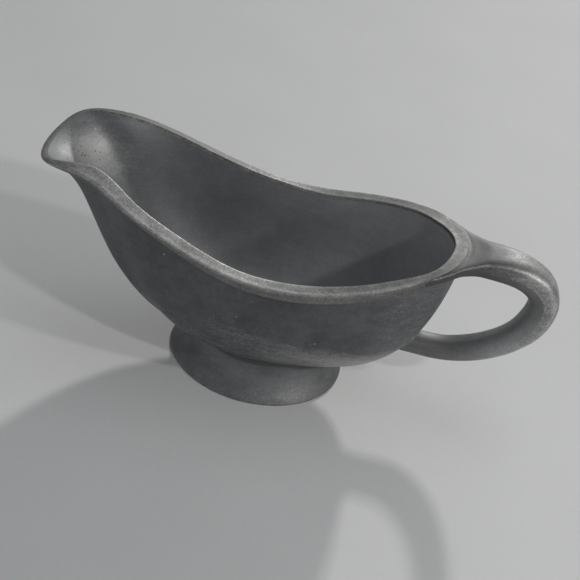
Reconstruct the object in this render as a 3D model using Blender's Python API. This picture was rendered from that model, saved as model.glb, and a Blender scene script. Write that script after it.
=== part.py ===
"""Oval silver sauce boat with a broad pouring lip, an applied mouth band, a hollow flared foot and a
cast loop handle, built as a silversmith assembles one: raised bowl, band, foot and handle, joined by
solder.

Own frame, metres, +Z up. The origin is on the table plane, under the middle of the boat's overall length
and width. +X points to the handle, -X to the pouring lip, and y = 0 is the plane of symmetry. Dimensions
below are in millimetres, with x measured from the foot's centre until the last step.
"""

import math

import bmesh
import bpy
import numpy as np

for old in list(bpy.data.objects):
    bpy.data.objects.remove(old, do_unlink=True)

MM = 0.001
GAP = 0.3  # solder clearance left between pieces that touch

# Mouth: the outer top edge of the band, as stations from the lip round to the handle: x, half width, height
MOUTH = [
    (-97.2, 0.0, 77.2),
    (-95.1, 12.2, 78.6),
    (-89.4, 20.6, 81.8),
    (-77.2, 24.8, 83.9),
    (-58.7, 31.7, 78.7),
    (-36.8, 36.2, 70.8),
    (-12.4, 38.1, 64.6),
    (8.9, 37.6, 64.2),
    (29.5, 34.8, 67.9),
    (45.5, 29.5, 71.9),
    (58.2, 22.2, 74.5),
    (67.0, 12.4, 76.0),
    (70.4, 0.0, 76.6),
]
MOUTH_CENTRE = -13.6
MOUTH_HALF_LENGTH = 84.0
MOUTH_HALF_WIDTH = 38.0

# Band: an L section whose top flange covers the bowl's edge and whose leg stands outside the wall
BAND_WIDTH, BAND_WIDTH_SHOULDER, BAND_WIDTH_LIP = 5.0, 5.8, 2.1
BAND_LEG, BAND_LEG_LIP = 1.0, 0.6
BAND_FLANGE, BAND_FLANGE_LIP = 1.3, 0.8
BAND_HEIGHT, BAND_HEIGHT_LIP = 4.3, 2.4
BAND_TILT, BAND_TILT_LIP = 10.0, 62.0  # degrees that the flange rises inwards

# Bowl: wall, and the share of the way out and of the way up of the wall's curve, neck to mouth
WALL = 2.2
CURVE_LIP = [(0.21, 0.0), (0.74, 0.13), (0.66, 1.01)]
CURVE_SIDE = [(0.38, 0.0), (0.79, 0.26), (0.89, 0.68)]
CURVE_BACK = [(0.59, 0.0), (0.79, 0.10), (1.01, 0.51)]
FLOOR_SAG = 0.5

# Foot: an oval collar, open below
NECK_HALF_LENGTH, NECK_HALF_WIDTH = 27.0, 22.0
BASE_HALF_LENGTH, BASE_HALF_WIDTH = 36.8, 32.0
FOOT_HEIGHT = 16.0
FOOT_WALL = 2.2
FOOT_REST_WIDTH = 3.2
FOOT_FLARE = 2.0

# Handle: stations along its middle line in the plane y = 0: x, height, half width, half thickness
HANDLE = [
    (70.8, 74.4, 24.0, 2.1),
    (73.2, 74.4, 15.0, 2.9),
    (79.4, 74.6, 9.3, 4.4),
    (92.7, 72.3, 7.6, 5.2),
    (103.7, 63.9, 6.6, 5.1),
    (105.3, 52.3, 6.3, 5.6),
    (99.9, 41.8, 5.9, 5.0),
    (86.4, 31.5, 5.6, 4.6),
    (71.9, 27.1, 5.2, 4.2),
    (64.8, 26.6, 5.3, 4.3),
]
HANDLE_SECTION = 3.2  # squareness of the section
HANDLE_WRAP = 16.0  # length over which the upper root stops following the mouth's curve
HANDLE_GAP = 0.45

FILLET = 2.0
SEAM_HALF = 0.3

N_ROUND = 96
N_WALL = 13


# ---------------------------------------------------------------- curves
def smooth(lo, hi, x):
    t = np.clip((np.asarray(x, float) - lo) / (hi - lo), 0, 1)
    return t * t * (3 - 2 * t)


def closed_spline(points, knots, u):
    """Periodic cubic spline through points, one turn per unit of u."""
    m = len(points)
    ends = np.r_[knots, knots[0] + 1.0]
    h = np.diff(ends)
    a, r = np.zeros((m, m)), np.zeros((m, points.shape[1]))
    for i in range(m):
        before, after = h[i - 1], h[i]
        a[i, (i - 1) % m] += before
        a[i, i] += 2 * (before + after)
        a[i, (i + 1) % m] += after
        r[i] = 6 * ((points[(i + 1) % m] - points[i]) / after - (points[i] - points[i - 1]) / before)
    second = np.linalg.solve(a, r)
    u = np.atleast_1d(u) % 1.0
    k = np.clip(np.searchsorted(ends, u, side="right") - 1, 0, m - 1)
    hk = h[k][:, None]
    p, q = ((ends[k + 1] - u) / h[k])[:, None], ((u - ends[k]) / h[k])[:, None]
    return (
        p * points[k]
        + q * points[(k + 1) % m]
        + ((p**3 - p) * second[k] + (q**3 - q) * second[(k + 1) % m]) * hk * hk / 6
    )


def open_spline(points, knots, q):
    """Natural cubic spline through points."""
    n, h = len(points), np.diff(knots)
    a, r = np.eye(n), np.zeros_like(points)
    for i in range(1, n - 1):
        a[i, i - 1], a[i, i], a[i, i + 1] = h[i - 1], 2 * (h[i - 1] + h[i]), h[i]
        r[i] = 6 * ((points[i + 1] - points[i]) / h[i] - (points[i] - points[i - 1]) / h[i - 1])
    second = np.linalg.solve(a, r)
    k = np.clip(np.searchsorted(knots, q, side="right") - 1, 0, n - 2)
    s, t = ((knots[k + 1] - q) / h[k])[:, None], ((q - knots[k]) / h[k])[:, None]
    hk = h[k][:, None]
    return (
        s * points[k]
        + t * points[k + 1]
        + ((s**3 - s) * second[k] + (t**3 - t) * second[k + 1]) * hk * hk / 6
    )


def even_curve(values, knots, q):
    """Cubic through values that never overshoots between two of them."""
    values = np.asarray(values, float)
    h = np.diff(knots)
    d = np.diff(values) / h
    slope = np.zeros(len(values))
    for i in range(1, len(values) - 1):
        if d[i - 1] * d[i] > 0:
            slope[i] = 2 * d[i - 1] * d[i] / (d[i - 1] + d[i])
    slope[0], slope[-1] = d[0], d[-1]
    k = np.clip(np.searchsorted(knots, q, side="right") - 1, 0, len(h) - 1)
    t = (q - knots[k]) / h[k]
    return (
        (2 * t**3 - 3 * t**2 + 1) * values[k]
        + (t**3 - 2 * t**2 + t) * h[k] * slope[k]
        + (3 * t**2 - 2 * t**3) * values[k + 1]
        + (t**3 - t**2) * h[k] * slope[k + 1]
    )


def mouth_full():
    half = np.array(MOUTH)[::-1]
    full = np.r_[half, half[1:-1][::-1] * [1, -1, 1]]
    step = np.linalg.norm(np.roll(full, -1, 0) - full, axis=1)
    return full, np.r_[0, np.cumsum(step)][:-1] / step.sum()


FULL, KNOTS = mouth_full()


class Rim:
    """The mouth at positions u (0 at the handle, 0.5 at the lip's middle), with its band's local frame."""

    def __init__(self, u):
        self.u = np.atleast_1d(np.asarray(u, float))
        self.edge = closed_spline(FULL, KNOTS, self.u)
        e = 1e-4
        run = closed_spline(FULL, KNOTS, self.u + e) - closed_spline(FULL, KNOTS, self.u - e)
        run[:, 2] = 0
        run /= np.linalg.norm(run, axis=1)[:, None]
        inward = np.c_[-run[:, 1], run[:, 0], np.zeros(len(run))]
        up = np.array([0, 0, 1.0])
        self.angle = np.arctan2(
            self.edge[:, 1] / MOUTH_HALF_WIDTH, (self.edge[:, 0] - MOUTH_CENTRE) / MOUTH_HALF_LENGTH
        )
        forward = -np.cos(self.angle)
        self.lip = smooth(0.70, 0.97, forward)
        self.front = smooth(0.35, 0.97, forward)
        self.back = smooth(0.35, 0.97, -forward)
        tilt = np.radians(BAND_TILT + (BAND_TILT_LIP - BAND_TILT) * self.lip)[:, None]
        self.across = inward * np.cos(tilt) + up * np.sin(tilt)  # over the flange, inwards
        self.down = inward * np.sin(tilt) - up * np.cos(tilt)  # along the leg, away from the edge
        self.width = BAND_WIDTH + (BAND_WIDTH_SHOULDER - BAND_WIDTH) * smooth(0.0, 0.6, forward)
        self.width = self.width + (BAND_WIDTH_LIP - self.width) * self.lip
        self.leg = BAND_LEG + (BAND_LEG_LIP - BAND_LEG) * self.lip
        self.flange = BAND_FLANGE + (BAND_FLANGE_LIP - BAND_FLANGE) * self.lip
        self.height = BAND_HEIGHT + (BAND_HEIGHT_LIP - BAND_HEIGHT) * self.lip

    def at(self, a, b):
        """Point a across the flange and b down the leg from the outer top edge."""
        a = np.broadcast_to(a, self.u.shape)[:, None]
        b = np.broadcast_to(b, self.u.shape)[:, None]
        return self.edge + a * self.across + b * self.down


# ---------------------------------------------------------------- bowl
def wall_outside(rim, t):
    """Outer face of the bowl: t = 1 under the band's leg, t = 0 at the neck. Shape (t, u, 3)."""
    top = rim.at(rim.leg + GAP, rim.height)
    neck = np.c_[
        NECK_HALF_LENGTH * np.cos(rim.angle),
        NECK_HALF_WIDTH * np.sin(rim.angle),
        np.full(len(rim.u), FOOT_HEIGHT),
    ]
    reach = top - neck
    side = 1 - rim.front - rim.back
    poles = [neck]
    for lip, mid, back in zip(CURVE_LIP, CURVE_SIDE, CURVE_BACK):
        out = rim.front * lip[0] + side * mid[0] + rim.back * back[0]
        up = rim.front * lip[1] + side * mid[1] + rim.back * back[1]
        poles.append(neck + reach * np.c_[out, out, up])
    poles.append(top)
    t = np.atleast_1d(t)[:, None, None]
    return sum(math.comb(4, i) * t**i * (1 - t) ** (4 - i) * p for i, p in enumerate(poles))


def floor_rings(shares):
    """Rings of the bowl's underside inside the neck, as a share of its radius."""
    return [(s, FOOT_HEIGHT - FLOOR_SAG * (1 - s * s)) for s in shares]


def inward_normals(grid):
    """Unit normals of a (row, round, 3) grid that point into the bowl."""
    along = np.gradient(grid, axis=0)
    round_ = np.roll(grid, -1, axis=1) - np.roll(grid, 1, axis=1)
    n = np.cross(round_, along)
    n /= np.linalg.norm(n, axis=2)[:, :, None]
    return -n if n[0, 0] @ np.array([-1.0, 0, 0.2]) < 0 else n


def bowl_rows(rim, steps):
    """Rings of the bowl from its outer top edge, down, under, up the inside and to its inner top edge."""
    t = np.linspace(1, 0, steps)
    outside = wall_outside(rim, t)
    shares = [0.72, 0.4]
    below = [
        np.c_[outside[-1][:, :2] * s, np.full(len(rim.u), z)] for s, z in floor_rings(shares)
    ]
    grid = np.array(list(outside) + below)
    normal = inward_normals(grid)
    edge = rim.width - rim.leg - GAP - 0.05
    rows_t = np.r_[t, np.zeros(len(shares))]
    grow = smooth(1.0, 0.55, rows_t)[:, None]
    thick = edge[None, :] * (1 - grow) + WALL * grow
    inside = grid + normal * thick[:, :, None]
    first = rim.at(rim.leg + GAP, rim.flange + GAP)
    last = rim.at(rim.width - 0.05, rim.flange + GAP)
    return [first] + list(grid), list(inside[::-1]) + [last]


def back_wall_x(y, z):
    """x of the bowl's outer face behind the neck, at side position y and height z."""
    rim = Rim(np.linspace(-0.11, 0.11, 45))
    face = wall_outside(rim, np.linspace(0, 1, 60))
    y, z = np.atleast_1d(y), np.atleast_1d(z)
    found = []
    for yy, zz in zip(y, z):
        xs = [np.interp(zz, face[:, i, 2], face[:, i, 0]) for i in range(45)]
        ys = [np.interp(zz, face[:, i, 2], face[:, i, 1]) for i in range(45)]
        found.append(np.interp(yy, ys, xs))
    return np.array(found)


# ---------------------------------------------------------------- mesh helpers
def metal(name, colour, roughness):
    mat = bpy.data.materials.new(name)
    mat.use_nodes = True
    shader = mat.node_tree.nodes["Principled BSDF"]
    shader.inputs["Base Color"].default_value = (*colour, 1)
    shader.inputs["Metallic"].default_value = 1.0
    shader.inputs["Roughness"].default_value = roughness
    mat.diffuse_color = (*colour, 1)
    return mat


ROOT = bpy.data.objects.new("sauce_boat", None)
bpy.context.scene.collection.objects.link(ROOT)


def add_object(name, bm, mat, sharp=40.0):
    bmesh.ops.remove_doubles(bm, verts=bm.verts, dist=1e-7)
    bmesh.ops.recalc_face_normals(bm, faces=bm.faces)
    mesh = bpy.data.meshes.new(name)
    bm.to_mesh(mesh)
    bm.free()
    mesh.materials.append(mat)
    mesh.shade_smooth()
    mesh.set_sharp_from_angle(angle=math.radians(sharp))
    ob = bpy.data.objects.new(name, mesh)
    ob.parent = ROOT
    bpy.context.scene.collection.objects.link(ob)
    return ob


def add_ring(bm, points):
    return [bm.verts.new(tuple(float(c) * MM for c in p)) for p in points]


def skin(bm, one, two, closed=True):
    """Quads between two rings with the same count."""
    n = len(one)
    for i in range(n if closed else n - 1):
        j = (i + 1) % n
        bm.faces.new((one[i], one[j], two[j], two[i]))


def fan(bm, ring, point):
    tip = bm.verts.new(tuple(float(c) * MM for c in point))
    for i in range(len(ring)):
        bm.faces.new((ring[i], ring[(i + 1) % len(ring)], tip))


# Rim positions: closer together round the lip's corners and round the handle's root
def round_positions(count):
    fine = np.linspace(0, 1, 4001)
    away = np.minimum(fine, 1 - fine)
    weight = 1 + 1.6 * np.exp(-(((fine - 0.5) / 0.10) ** 2)) + 0.7 * np.exp(-((away / 0.10) ** 2))
    total = np.r_[0, np.cumsum((weight[1:] + weight[:-1]) / 2)]
    return np.interp(np.arange(count) / count, total / total[-1], fine)


ROUND = round_positions(N_ROUND)
RIM = Rim(ROUND)

SILVER = metal("aged_silver", (0.20, 0.20, 0.205), 0.46)
INSIDE_SILVER = metal("bowl_silver", (0.16, 0.165, 0.175), 0.42)
BAND_SILVER = metal("band_silver", (0.27, 0.27, 0.27), 0.38)
SOLDER = metal("solder", (0.24, 0.24, 0.235), 0.50)


# ---------------------------------------------------------------- bowl_shell
def build_bowl():
    bm = bmesh.new()
    outside, inside = bowl_rows(RIM, N_WALL)
    out_rings = [add_ring(bm, r) for r in outside]
    in_rings = [add_ring(bm, r) for r in inside]
    for rings in (out_rings, in_rings):
        for one, two in zip(rings, rings[1:]):
            skin(bm, one, two)
    fan(bm, out_rings[-1], (0, 0, FOOT_HEIGHT - FLOOR_SAG))
    fan(bm, in_rings[0], (0, 0, FOOT_HEIGHT - FLOOR_SAG + WALL))
    skin(bm, in_rings[-1], out_rings[0])
    return add_object("bowl_shell", bm, INSIDE_SILVER)


# ---------------------------------------------------------------- rim_band and its seam
def band_section(rim):
    """Rings of the L section, anticlockwise seen along the run."""
    w, l, f, h = rim.width, rim.leg, rim.flange, rim.height
    ab = [
        (0 * w, 0.55 + 0 * w),
        (0.16 + 0 * w, 0.16 + 0 * w),
        (0.55 + 0 * w, 0 * w),
        (w - 0.2, 0 * w),
        (w, 0.2 + 0 * w),
        (w, f),
        (l, f),
        (l, h),
        (0.25 + 0 * w, h),
        (0 * w, h - 0.25),
    ]
    return np.array([rim.at(a, b) for a, b in ab]).transpose(1, 0, 2)


def run_length():
    pts = closed_spline(FULL, KNOTS, np.linspace(0, 1, 2001))
    return np.linalg.norm(np.diff(pts, axis=0), axis=1).sum()


def sweep(bm, sections):
    rings = [add_ring(bm, s) for s in sections]
    for one, two in zip(rings, rings[1:]):
        skin(bm, one, two)
    return rings


def cap_l(bm, ring):
    """Flat end of the L section, as its flange and its leg."""
    bm.faces.new([ring[i] for i in (2, 3, 4, 5, 6)])
    bm.faces.new([ring[i] for i in (0, 1, 2, 6)])
    bm.faces.new([ring[i] for i in (9, 0, 6)])
    bm.faces.new([ring[i] for i in (8, 9, 6, 7)])


def build_band():
    half = (SEAM_HALF + GAP) / run_length()
    inner = [u for u in ROUND if half * 2 < u < 1 - half * 2]
    rim = Rim(np.r_[half, inner, 1 - half])
    bm = bmesh.new()
    rings = sweep(bm, band_section(rim))
    cap_l(bm, rings[0])
    cap_l(bm, rings[-1])
    return add_object("rim_band", bm, BAND_SILVER, 35)


def build_seam():
    half = SEAM_HALF / run_length()
    bm = bmesh.new()
    rings = sweep(bm, band_section(Rim([-half, 0, half])))
    cap_l(bm, rings[0])
    cap_l(bm, rings[-1])
    return add_object("rim_band_solder_seam", bm, SOLDER, 35)


# ---------------------------------------------------------------- foot_collar
def foot_half_axes(z):
    k = (1 - np.clip(z / FOOT_HEIGHT, 0, 1)) ** FOOT_FLARE
    return (
        NECK_HALF_LENGTH + (BASE_HALF_LENGTH - NECK_HALF_LENGTH) * k,
        NECK_HALF_WIDTH + (BASE_HALF_WIDTH - NECK_HALF_WIDTH) * k,
    )


def oval(a, b, z, angles):
    return np.c_[a * np.cos(angles), b * np.sin(angles), np.full(len(angles), z)]


def build_foot():
    angles = np.linspace(0, 2 * math.pi, 64, endpoint=False)
    top = FOOT_HEIGHT - GAP - 0.1
    outer = [oval(*foot_half_axes(z), z, angles) for z in (top, 13.0, 10.0, 7.0, 4.5, 2.4, 0.9)]
    outer.append(oval(BASE_HALF_LENGTH - 0.05, BASE_HALF_WIDTH - 0.05, 0.35, angles))
    outer.append(oval(BASE_HALF_LENGTH - 0.4, BASE_HALF_WIDTH - 0.4, 0.0, angles))
    rest = FOOT_REST_WIDTH + 0.4
    inner = [oval(BASE_HALF_LENGTH - rest, BASE_HALF_WIDTH - rest, 0.0, angles)]
    for z in (1.5, 4.0, 8.0, 12.0, top):
        a, b = foot_half_axes(z + 1.2)
        inner.append(oval(a - FOOT_WALL, b - FOOT_WALL, z, angles))
    bm = bmesh.new()
    rings = [add_ring(bm, r) for r in outer + inner]
    for one, two in zip(rings, rings[1:] + rings[:1]):
        skin(bm, one, two)
    return add_object("foot_collar", bm, SILVER, 50)


def build_foot_fillet():
    """Solder that runs round the neck, in the corner under the bowl."""
    rim = RIM
    t = np.linspace(0, 0.4, 81)
    face = wall_outside(rim, t)
    neck = face[0]
    out = np.linalg.norm(face[:, :, :2] - neck[None, :, :2], axis=2)
    under = np.array(
        [[np.interp(FILLET, out[:, i], face[:, i, c]) for c in range(3)] for i in range(len(rim.u))]
    )
    under[:, 2] -= GAP + 0.15
    direction = np.c_[neck[:, 0] / NECK_HALF_LENGTH**2, neck[:, 1] / NECK_HALF_WIDTH**2, 0 * neck[:, 0]]
    direction /= np.linalg.norm(direction, axis=1)[:, None]
    corner = neck + direction * (GAP + 0.1) - [0, 0, GAP + 0.2]
    low_z = FOOT_HEIGHT - GAP - FILLET
    grow = foot_half_axes(low_z)[0] - NECK_HALF_LENGTH
    low = neck + direction * (GAP + 0.1 + grow)
    low[:, 2] = low_z
    middle = (under + low) / 2 * 0.72 + corner * 0.28
    bm = bmesh.new()
    rings = [add_ring(bm, r) for r in (corner, under, middle, low)]
    for one, two in zip(rings, rings[1:] + rings[:1]):
        skin(bm, one, two)
    return add_object("foot_solder_fillet", bm, SOLDER, 60)


# ---------------------------------------------------------------- handle
ACROSS = np.array([-1, -0.97, -0.9, -0.79, -0.65, -0.5, -0.34, -0.17, 0, 0.17, 0.34, 0.5, 0.65, 0.79, 0.9, 0.97, 1])


def back_edge():
    """The mouth's outer edge behind the bowl, ordered by y, for the handle's upper root."""
    rim = Rim(np.linspace(-0.13, 0.13, 261))
    return rim


BACK = back_edge()


def root_point(y, up):
    """On the band's outer face behind the bowl, HANDLE_GAP off it: side position y, up from -1 (leg's end) to 1."""
    depth = BAND_HEIGHT / 2 * (1 - 0.97 * up)
    face = BACK.edge - BACK.across * HANDLE_GAP + BACK.down * depth
    return np.array([np.interp(y, face[:, 1], face[:, 0]), y, np.interp(y, face[:, 1], face[:, 2])])


def handle_rows(count):
    stations = np.array(HANDLE)
    step = np.linalg.norm(np.diff(stations[:, :2], axis=0), axis=1)
    knots = np.r_[0, np.cumsum(step)]
    share = np.linspace(0, 1, count)
    q = knots[-1] * (share * 0.72 + 0.28 * share**2)
    mid = open_spline(stations[:, :2], knots, q)
    wide = even_curve(stations[:, 2], knots, q)
    thick = even_curve(stations[:, 3], knots, q)
    ahead = open_spline(stations[:, :2], knots, np.minimum(q + 0.05, knots[-1]))
    behind = open_spline(stations[:, :2], knots, np.maximum(q - 0.05, 0))
    run = ahead - behind
    run /= np.linalg.norm(run, axis=1)[:, None]
    outward = np.c_[-run[:, 1], run[:, 0]]
    lean = math.radians(BAND_TILT)
    start = np.array([math.sin(lean), math.cos(lean)])
    power = HANDLE_SECTION
    height = (1 - np.abs(ACROSS) ** power) ** (1 / power)
    rows = []
    for i in range(count):
        keep = 1 - smooth(0, HANDLE_WRAP, q[i])
        normal = outward[i] * (1 - keep) + start * keep
        normal = normal / np.linalg.norm(normal)
        sides = []
        for sign in (1, -1):
            line = []
            for e, h in zip(ACROSS, height):
                y, up = wide[i] * e, sign * h
                p = np.array([mid[i][0] + normal[0] * thick[i] * up, y, mid[i][1] + normal[1] * thick[i] * up])
                if i == 0:
                    p = root_point(y, up)
                elif keep > 0:
                    shift = root_point(y, up) - root_point(0, up)
                    p[0] += keep * shift[0]
                    p[2] += keep * shift[2]
                line.append(p)
            sides.append(line)
        rows.append(sides)
    return rows


def lower_root(row):
    """The last section carried on to the bowl's wall."""
    return [
        [np.array([back_wall_x(p[1], p[2])[0] + HANDLE_GAP + 0.15, p[1], p[2]]) for p in line] for line in row
    ]


def section_ring(sides):
    """One closed ring: the top from -y to +y, then the bottom back again without its two shared ends."""
    top, bottom = sides
    return top + bottom[1:-1][::-1]


def ladder_cap(bm, ring, place, rungs=3):
    """Closes a ring across its thickness with rows that place() lays on the neighbour's face."""
    n = len(ACROSS)
    top = ring[:n]
    bottom = [ring[0]] + ring[n:][::-1] + [ring[n - 1]]
    lines = [top]
    for r in range(1, rungs + 1):
        k = r / (rungs + 1)
        line = [top[0]]
        for i in range(1, n - 1):
            a, b = top[i].co / MM, bottom[i].co / MM
            line.append(bm.verts.new(tuple(float(c) * MM for c in place(np.array(a), np.array(b), k))))
        line.append(top[-1])
        lines.append(line)
    lines.append(bottom)
    for one, two in zip(lines, lines[1:]):
        for i in range(n - 1):
            corners = [one[i], one[i + 1], two[i + 1], two[i]]
            kept = [v for j, v in enumerate(corners) if v not in corners[:j]]
            if len(kept) > 2:
                bm.faces.new(kept)


def build_handle():
    bm = bmesh.new()
    rows = handle_rows(32)
    rows.append(lower_root(rows[-1]))
    rings = [add_ring(bm, section_ring(r)) for r in rows]
    for one, two in zip(rings, rings[1:]):
        skin(bm, one, two)
    ladder_cap(bm, rings[0], lambda a, b, k: a * (1 - k) + b * k, 1)

    def on_wall(a, b, k):
        p = a * (1 - k) + b * k
        p[0] = back_wall_x(p[1], p[2])[0] + HANDLE_GAP + 0.15
        return p

    ladder_cap(bm, rings[-1], on_wall, 3)
    return add_object("handle", bm, SILVER, 60)


def build_upper_fillet():
    """Solder in the corner under the handle's upper root, against the bowl's wall."""
    count = 25
    u = np.linspace(-0.052, 0.052, count)
    rim = Rim(u)
    fade = 1 - (np.abs(u) / 0.056) ** 2
    reach = 0.4 + 1.4 * fade
    h = rim.height
    face = wall_outside(rim, np.linspace(1, 0.75, 60))
    off = -rim.across * (GAP + 0.12)
    corner = face[0] + off + rim.down * (GAP + 0.05)
    under = rim.at(-reach, h + GAP + 0.25 + 0.35 * fade)
    drop = face[0, :, 2] - face[:, :, 2]
    low_drop = GAP + 0.9 + 1.4 * fade
    low = off + np.array(
        [[np.interp(low_drop[i], drop[:, i], face[:, i, c]) for c in range(3)] for i in range(count)]
    )
    middle = (under + low) / 2 * 0.8 + corner * 0.2
    bm = bmesh.new()
    sections = np.array([corner, under, middle, low]).transpose(1, 0, 2)
    rings = sweep(bm, sections)
    bm.faces.new(rings[0])
    bm.faces.new(rings[-1])
    return add_object("handle_upper_solder_fillet", bm, SOLDER, 60)


def build_lower_fillet():
    """Solder that runs round the handle's lower root, against the bowl's wall."""
    row = section_ring(lower_root(handle_rows(32)[-1]))
    centre = np.mean(row, axis=0)
    corner, under, middle, along = [], [], [], []
    for p in row:
        r = np.array([0, p[1] - centre[1], p[2] - centre[2]])
        r /= np.linalg.norm(r)

        def on_wall(distance, lift=0.0):
            y, z = p[1] + r[1] * distance, p[2] + r[2] * distance
            return np.array([back_wall_x(y, z)[0] + GAP + 0.15 + lift, y, z])

        a = on_wall(GAP + 0.15, 0.05)
        b = on_wall(GAP + 0.15 + FILLET * 0.9)
        c = a + np.array([FILLET, 0, 0])
        corner.append(a)
        under.append(b)
        along.append(c)
        middle.append((b + c) / 2 * 0.75 + a * 0.25)
    bm = bmesh.new()
    rings = [add_ring(bm, r) for r in (corner, under, middle, along)]
    for one, two in zip(rings, rings[1:] + rings[:1]):
        skin(bm, one, two)
    return add_object("handle_lower_solder_fillet", bm, SOLDER, 60)


build_bowl()
build_band()
build_seam()
build_foot()
build_foot_fillet()
build_handle()
build_upper_fillet()
build_lower_fillet()

# The boat is shaped about its foot's centre, then set with the middle of its overall length over the origin
bpy.context.view_layer.update()
ends = [v.co.x for ob in ROOT.children for v in ob.data.vertices]
ROOT.location.x = -(min(ends) + max(ends)) / 2
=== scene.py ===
"""Looks of the sauce boat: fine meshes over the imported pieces, aged silver, a pale floor and soft light.

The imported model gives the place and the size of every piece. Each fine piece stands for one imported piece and
rides on the same body. Dimensions below are in millimetres in the boat's own frame, with x measured from the
foot's centre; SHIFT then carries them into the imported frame, in metres.
"""

import math

import bmesh
import bpy
import numpy as np
from mathutils import Matrix, Vector, noise


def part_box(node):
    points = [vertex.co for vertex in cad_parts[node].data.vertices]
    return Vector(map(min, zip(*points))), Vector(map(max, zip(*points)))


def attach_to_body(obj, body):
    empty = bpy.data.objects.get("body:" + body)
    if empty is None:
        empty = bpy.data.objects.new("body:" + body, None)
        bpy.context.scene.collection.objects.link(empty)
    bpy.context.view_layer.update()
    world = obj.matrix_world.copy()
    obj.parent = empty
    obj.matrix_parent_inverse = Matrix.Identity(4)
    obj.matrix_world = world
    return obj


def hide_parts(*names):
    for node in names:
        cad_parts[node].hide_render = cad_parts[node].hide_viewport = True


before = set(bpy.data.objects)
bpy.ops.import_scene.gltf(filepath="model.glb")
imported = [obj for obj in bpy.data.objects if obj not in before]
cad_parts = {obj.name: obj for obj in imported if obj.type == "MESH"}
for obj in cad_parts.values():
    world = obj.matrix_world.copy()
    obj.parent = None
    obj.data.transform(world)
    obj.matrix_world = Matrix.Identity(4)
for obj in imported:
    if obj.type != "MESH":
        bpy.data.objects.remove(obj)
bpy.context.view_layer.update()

MM = 0.001
FOOT_LOW, FOOT_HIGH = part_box("foot_collar")
SHIFT = (FOOT_LOW[0] + FOOT_HIGH[0]) / 2 / MM

GAP = 0.06  # hairline left between two pieces

# Mouth: the outer top edge of the band, as stations from the lip round to the handle: x, half width, height
MOUTH = [
    (-97.2, 0.0, 77.2),
    (-95.1, 12.2, 78.6),
    (-89.4, 20.6, 81.8),
    (-77.2, 24.8, 83.9),
    (-58.7, 31.7, 78.7),
    (-36.8, 36.2, 70.8),
    (-12.4, 38.1, 64.6),
    (8.9, 37.6, 64.2),
    (29.5, 34.8, 67.9),
    (45.5, 29.5, 71.9),
    (58.2, 22.2, 74.5),
    (67.0, 12.4, 76.0),
    (70.4, 0.0, 76.6),
]
MOUTH_CENTRE = -13.6
MOUTH_HALF_LENGTH = 84.0
MOUTH_HALF_WIDTH = 38.0

# Band
BAND_WIDTH, BAND_WIDTH_SHOULDER, BAND_WIDTH_LIP = 5.0, 5.8, 2.1
BAND_LEG, BAND_LEG_LIP = 1.0, 0.6
BAND_FLANGE, BAND_FLANGE_LIP = 1.3, 0.8
BAND_HEIGHT, BAND_HEIGHT_LIP = 4.3, 2.4
BAND_TILT, BAND_TILT_LIP = 10.0, 62.0
LEVEL_TILT, LEVEL_LIFT = 13.0, 1.1  # at the handle

# Bowl
WALL = 2.2
CURVE_LIP = [(0.21, 0.0), (0.74, 0.13), (0.66, 1.01)]
CURVE_SIDE = [(0.38, 0.0), (0.79, 0.26), (0.89, 0.68)]
CURVE_BACK = [(0.59, 0.0), (0.78, 0.10), (0.985, 0.51)]
FLOOR_SAG = 0.5

# Foot
NECK_HALF_LENGTH, NECK_HALF_WIDTH = 27.0, 22.0
BASE_HALF_LENGTH, BASE_HALF_WIDTH = 37.4, 33.3
FOOT_HEIGHT = 16.0
FOOT_WALL = 2.2
FOOT_REST_WIDTH = 3.2
FOOT_FLARE = 2.0

# Handle: stations along its middle line: x, height, half width, half thickness
HANDLE = [
    (70.8, 75.5, 24.0, 2.1),
    (73.2, 75.0, 14.0, 2.9),
    (79.4, 74.2, 8.8, 4.5),
    (93.1, 72.5, 7.6, 5.8),
    (104.3, 64.7, 6.9, 6.0),
    (104.7, 52.3, 6.4, 6.0),
    (99.4, 41.8, 6.0, 5.3),
    (86.1, 31.2, 5.7, 4.9),
    (71.9, 26.8, 5.3, 4.5),
    (64.8, 26.6, 5.3, 4.3),
]
HANDLE_WRAP = 16.0

FILLET = 2.0
FOOT_FILLET = 3.4
SEAM_HALF = 0.3

# Fineness
N_ROUND = 480
N_WALL = 64
N_BAND = 900
N_HANDLE = 230
N_FOOT = 320


# ---------------------------------------------------------------- curves
def smooth(lo, hi, x):
    t = np.clip((np.asarray(x, float) - lo) / (hi - lo), 0, 1)
    return t * t * (3 - 2 * t)


def closed_spline(points, knots, u):
    """Periodic cubic spline through points, one turn per unit of u."""
    m = len(points)
    ends = np.r_[knots, knots[0] + 1.0]
    h = np.diff(ends)
    a, r = np.zeros((m, m)), np.zeros((m, points.shape[1]))
    for i in range(m):
        before, after = h[i - 1], h[i]
        a[i, (i - 1) % m] += before
        a[i, i] += 2 * (before + after)
        a[i, (i + 1) % m] += after
        r[i] = 6 * ((points[(i + 1) % m] - points[i]) / after - (points[i] - points[i - 1]) / before)
    second = np.linalg.solve(a, r)
    u = np.atleast_1d(u) % 1.0
    k = np.clip(np.searchsorted(ends, u, side="right") - 1, 0, m - 1)
    hk = h[k][:, None]
    p, q = ((ends[k + 1] - u) / h[k])[:, None], ((u - ends[k]) / h[k])[:, None]
    return (
        p * points[k]
        + q * points[(k + 1) % m]
        + ((p**3 - p) * second[k] + (q**3 - q) * second[(k + 1) % m]) * hk * hk / 6
    )


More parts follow.
